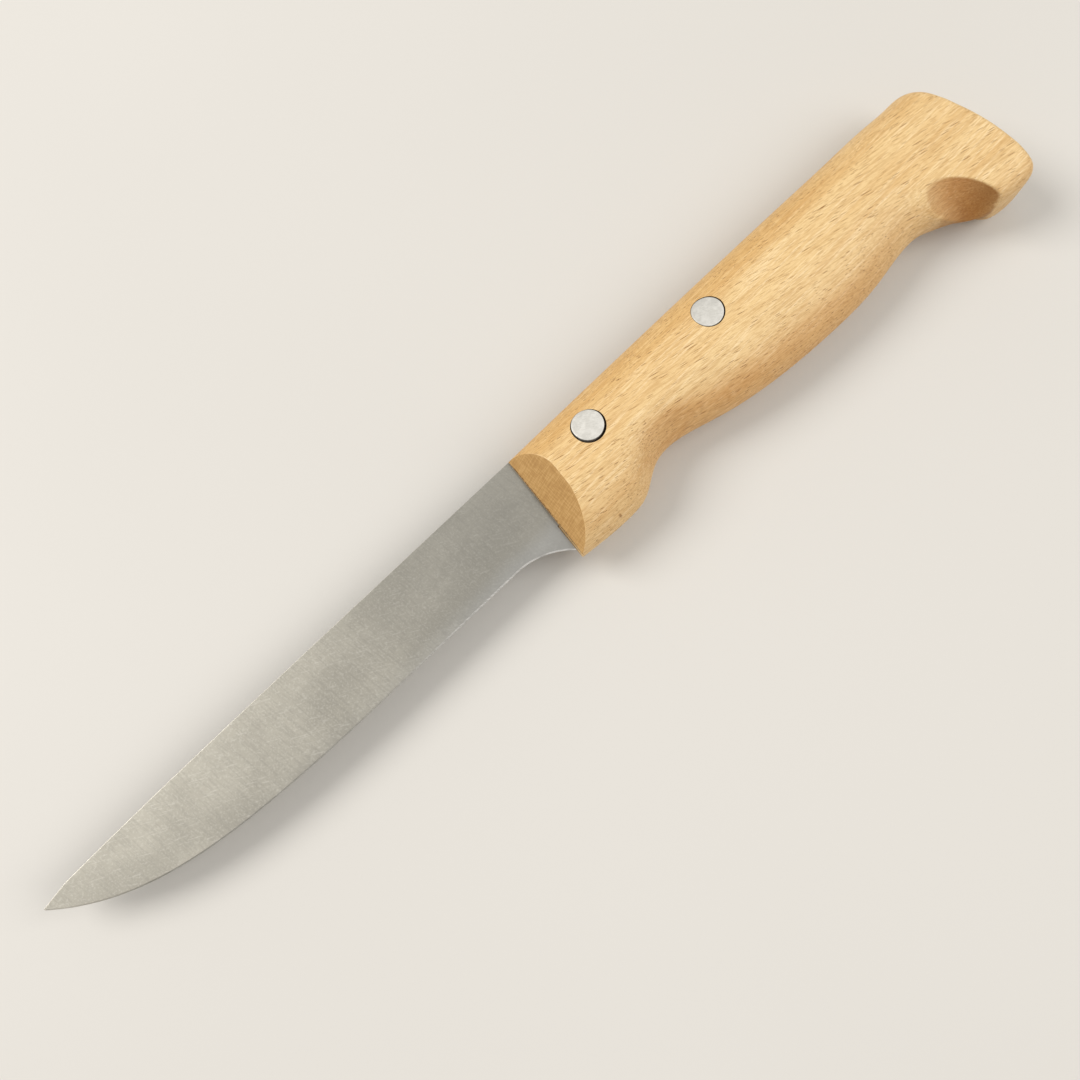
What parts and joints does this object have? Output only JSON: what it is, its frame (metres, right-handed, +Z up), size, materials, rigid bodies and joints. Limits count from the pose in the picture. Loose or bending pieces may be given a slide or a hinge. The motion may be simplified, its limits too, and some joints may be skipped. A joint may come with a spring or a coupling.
{
  "type": "boning knife",
  "caption": "Boning knife: a narrow pointed steel blade with a half tang riveted into a shaped one-piece beech handle with a finger notch and a hooked butt.",
  "frame": {"origin": "middle of the knife's box in X and Y, at its underside, with the knife lying on its side", "axes": "+X along the knife from the tip to the butt, +Y from the cutting edge to the spine, +Z up through the knife's thickness"},
  "size_m": [0.2772, 0.0374, 0.0182],
  "materials": {
    "steel": "satin, finely ground across the blade",
    "beech": "sanded smooth, clear, low sheen",
    "rivet_metal": "ground flush, satin"
  },
  "bodies": {
    "root": {"blade": "steel", "handle": "beech", "front_rivet_tube": "rivet_metal", "front_rivet_pin": "rivet_metal", "rear_rivet_tube": "rivet_metal", "rear_rivet_pin": "rivet_metal"}
  },
  "joints": []
}
